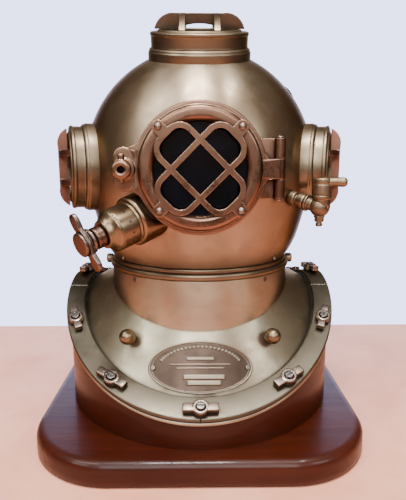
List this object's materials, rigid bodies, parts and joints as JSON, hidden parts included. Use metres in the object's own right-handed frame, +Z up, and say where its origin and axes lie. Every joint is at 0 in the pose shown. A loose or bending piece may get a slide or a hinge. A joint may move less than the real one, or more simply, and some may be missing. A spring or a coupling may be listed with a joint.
{
  "type": "diving helmet",
  "caption": "Brass standard-dress diving helmet with a hinged front light, guarded side and top lights, valve and clamped breastplate, on a varnished wooden stand.",
  "frame": {"origin": "centre of the board's underside", "axes": "+Z up, the helmet faces -Y, +X at the right of someone who looks at its face"},
  "size_m": [0.388, 0.388, 0.498],
  "materials": {
    "varnished_wood": "dark red-brown gloss varnish over open grain",
    "steel_screw": "plain wood screws",
    "pale_brass": "pale, greenish, hand-rubbed antique brass",
    "worn_brass_fittings": "dark tone in the corners, bright on the worn edges",
    "etched_brass": "darkened plate with a bright border",
    "leather_gasket": "oiled brown leather",
    "black_rubber": "matt black",
    "antique_brass": "satin antique brass, olive to golden",
    "copper_toned_brass": "warm pinkish copper tone, edges rubbed bright",
    "polished_brass": "golden brass, half polished",
    "spring_steel": "plain drawn wire",
    "dark_glass": "thick plate glass over a dark inside, glossy"
  },
  "bodies": {
    "stand_and_breastplate": {"base_board": "varnished_wood", "base_riser": "varnished_wood", "base_screws": "steel_screw", "brail_back_left": "pale_brass", "brail_back_right": "pale_brass", "brail_front_left": "pale_brass", "brail_front_right": "pale_brass", "brail_studs": "worn_brass_fittings", "brail_wing_nuts": "worn_brass_fittings", "breastplate": "pale_brass", "lanyard_studs": "worn_brass_fittings", "name_plate": "etched_brass", "name_plate_screws": "worn_brass_fittings", "neck_gasket": "leather_gasket", "neck_ring": "pale_brass", "neck_ring_screws": "worn_brass_fittings", "rim_gasket": "black_rubber"},
    "bonnet": {"bonnet_shell": "antique_brass", "bonnet_neck_ring": "antique_brass", "bonnet_ring_rivets": "worn_brass_fittings", "front_port_frame": "antique_brass", "hinge_pin": "worn_brass_fittings", "air_elbow": "antique_brass", "telephone_elbow": "antique_brass", "elbow_screws": "worn_brass_fittings", "exhaust_valve_body": "polished_brass", "exhaust_valve_cap": "polished_brass", "spitcock_body": "polished_brass", "left_light_frame": "antique_brass", "left_light_ring": "antique_brass", "left_light_gasket": "black_rubber", "left_light_glass": "dark_glass", "left_light_guard": "copper_toned_brass", "right_light_frame": "antique_brass", "right_light_ring": "antique_brass", "right_light_gasket": "black_rubber", "right_light_glass": "dark_glass", "right_light_guard": "copper_toned_brass", "top_light_frame": "antique_brass", "top_light_ring": "antique_brass", "top_light_gasket": "black_rubber", "top_light_glass": "dark_glass", "top_light_guard": "antique_brass"},
    "front_door": {"front_door": "copper_toned_brass", "front_glass": "dark_glass", "front_glass_gasket": "black_rubber", "front_grille": "copper_toned_brass", "grille_screws": "worn_brass_fittings"},
    "latch_collar": {"latch_collar": "copper_toned_brass"},
    "latch_screw": {"latch_wing_screw": "copper_toned_brass"},
    "exhaust_handle": {"exhaust_handle": "copper_toned_brass"},
    "exhaust_follower": {"exhaust_follower": "polished_brass"},
    "exhaust_disc": {"exhaust_disc": "polished_brass", "exhaust_spring": "spring_steel"},
    "spitcock_plug": {"spitcock_plug": "polished_brass"}
  },
  "joints": [
    {"name": "bonnet_turn", "type": "hinge", "parent": "stand_and_breastplate", "child": "bonnet", "pos_m": [0, 0, 0.2], "axis": [0, 0, 1], "range_deg": [0, 45]},
    {"name": "front_door_swing", "type": "hinge", "parent": "bonnet", "child": "front_door", "pos_m": [0.081, -0.137, 0.323], "axis": [0, 0, 1], "range_deg": [0, 140]},
    {"name": "latch_travel", "type": "slide", "parent": "front_door", "child": "latch_collar", "axis": [0, 1, 0], "range_m": [0, 0.006]},
    {"name": "latch_turn", "type": "hinge", "parent": "latch_collar", "child": "latch_screw", "pos_m": [-0.076, -0.15, 0.323], "axis": [0, 1, 0], "range_deg": [0, 1080]},
    {"name": "exhaust_handle_turn", "type": "hinge", "parent": "bonnet", "child": "exhaust_handle", "pos_m": [-0.117, -0.176, 0.2505], "axis": [-0.708, -0.6459, -0.2857], "range_deg": [0, 360]},
    {"name": "exhaust_follower_travel", "type": "slide", "parent": "bonnet", "child": "exhaust_follower", "axis": [0.708, 0.6459, 0.2857], "range_m": [0, 0.002]},
    {"name": "exhaust_disc_lift", "type": "slide", "parent": "bonnet", "child": "exhaust_disc", "axis": [-0.708, -0.6459, -0.2857], "range_m": [0, 0.0025], "stiffness_N_per_m": 200},
    {"name": "spitcock_turn", "type": "hinge", "parent": "bonnet", "child": "spitcock_plug", "pos_m": [0.12976, -0.12221, 0.28228], "axis": [0, 0, 1], "range_deg": [0, 90]}
  ],
  "couplings": [
    {"joint": "latch_turn", "follows": "latch_travel", "rad_per_m": 3141.6},
    {"joint": "exhaust_handle_turn", "follows": "exhaust_follower_travel", "rad_per_m": 3141.6}
  ]
}
